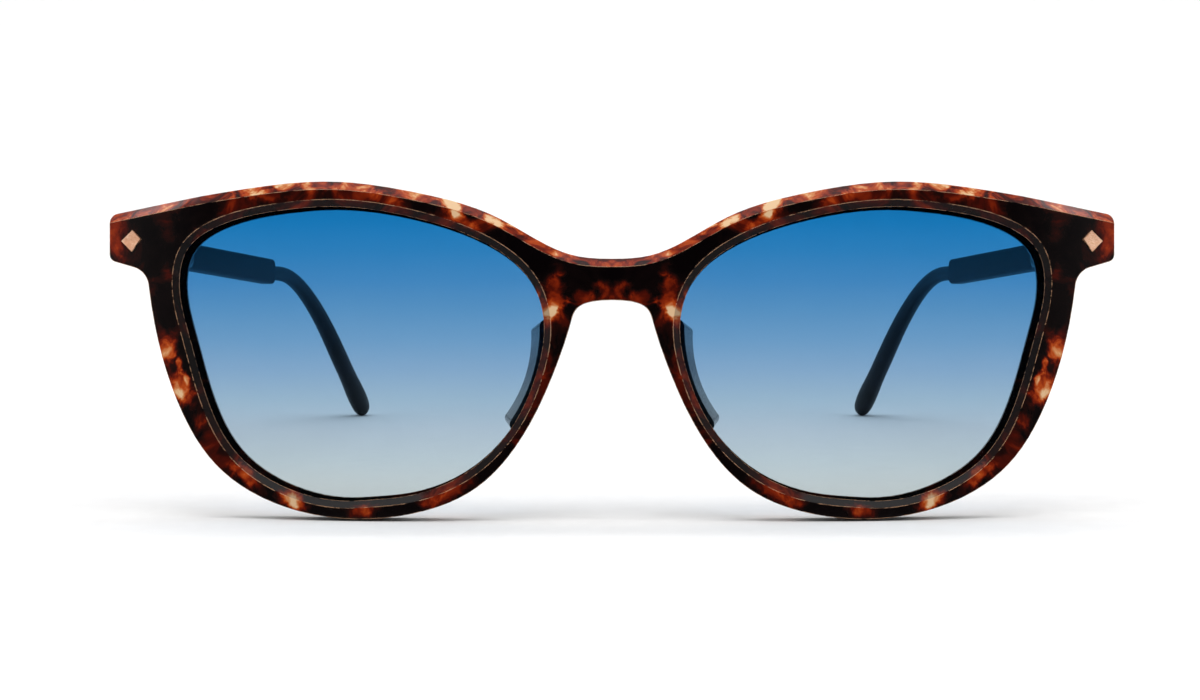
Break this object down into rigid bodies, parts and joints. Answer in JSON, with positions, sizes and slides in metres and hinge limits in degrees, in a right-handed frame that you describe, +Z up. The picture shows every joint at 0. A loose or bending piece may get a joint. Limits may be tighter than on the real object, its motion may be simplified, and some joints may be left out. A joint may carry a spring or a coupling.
{
  "type": "sunglasses",
  "caption": "Cat eye sunglasses with a tortoiseshell acetate front, blue gradient lenses, diamond inlays and slim folding temples with curved ear tips.",
  "frame": {"origin": "bottom centre of the box round the open glasses, on the surface that they stand on", "axes": "+Z up, +Y from the lenses back along the open temples, +X to the wearer's left, so the lenses face -Y"},
  "size_m": [0.1414, 0.145, 0.0467],
  "materials": {
    "tortoise_acetate": "polished tortoiseshell acetate",
    "blue_gradient_lens": "clear polycarbonate, blue gradient tint, dark above and pale below",
    "clear_pad": "polished smoky acetate",
    "rose_gold": "satin rose gold plate",
    "hinge_steel": "tumbled nickel silver",
    "screw_steel": "turned and polished stainless steel",
    "core_steel": "drawn wire",
    "navy_arm": "satin navy, nearly black",
    "navy_tip": "satin navy, nearly black"
  },
  "bodies": {
    "front": {"front_frame": "tortoise_acetate", "lens_left": "blue_gradient_lens", "lens_right": "blue_gradient_lens", "nose_pad_left": "clear_pad", "nose_pad_right": "clear_pad", "endpiece_inlay_left": "rose_gold", "endpiece_inlay_right": "rose_gold", "front_hinge_leaf_left": "hinge_steel", "front_hinge_leaf_right": "hinge_steel", "front_hinge_rivets_left": "hinge_steel", "front_hinge_rivets_right": "hinge_steel", "hinge_screw_left": "screw_steel", "hinge_screw_right": "screw_steel"},
    "temple_left": {"temple_arm_left": "navy_arm", "temple_tip_left": "navy_tip", "temple_core_wire_left": "core_steel", "temple_hinge_leaf_left": "hinge_steel", "temple_hinge_rivets_left": "hinge_steel"},
    "temple_right": {"temple_arm_right": "navy_arm", "temple_tip_right": "navy_tip", "temple_core_wire_right": "core_steel", "temple_hinge_leaf_right": "hinge_steel", "temple_hinge_rivets_right": "hinge_steel"}
  },
  "joints": [
    {"name": "temple_hinge_left", "type": "hinge", "parent": "front", "child": "temple_left", "pos_m": [0.06551, -0.05548, 0.03763], "axis": [0, 0.0775, 0.997], "range_deg": [0, 82]},
    {"name": "temple_hinge_right", "type": "hinge", "parent": "front", "child": "temple_right", "pos_m": [-0.06551, -0.05548, 0.03763], "axis": [0, -0.0775, -0.997], "range_deg": [0, 70]}
  ]
}
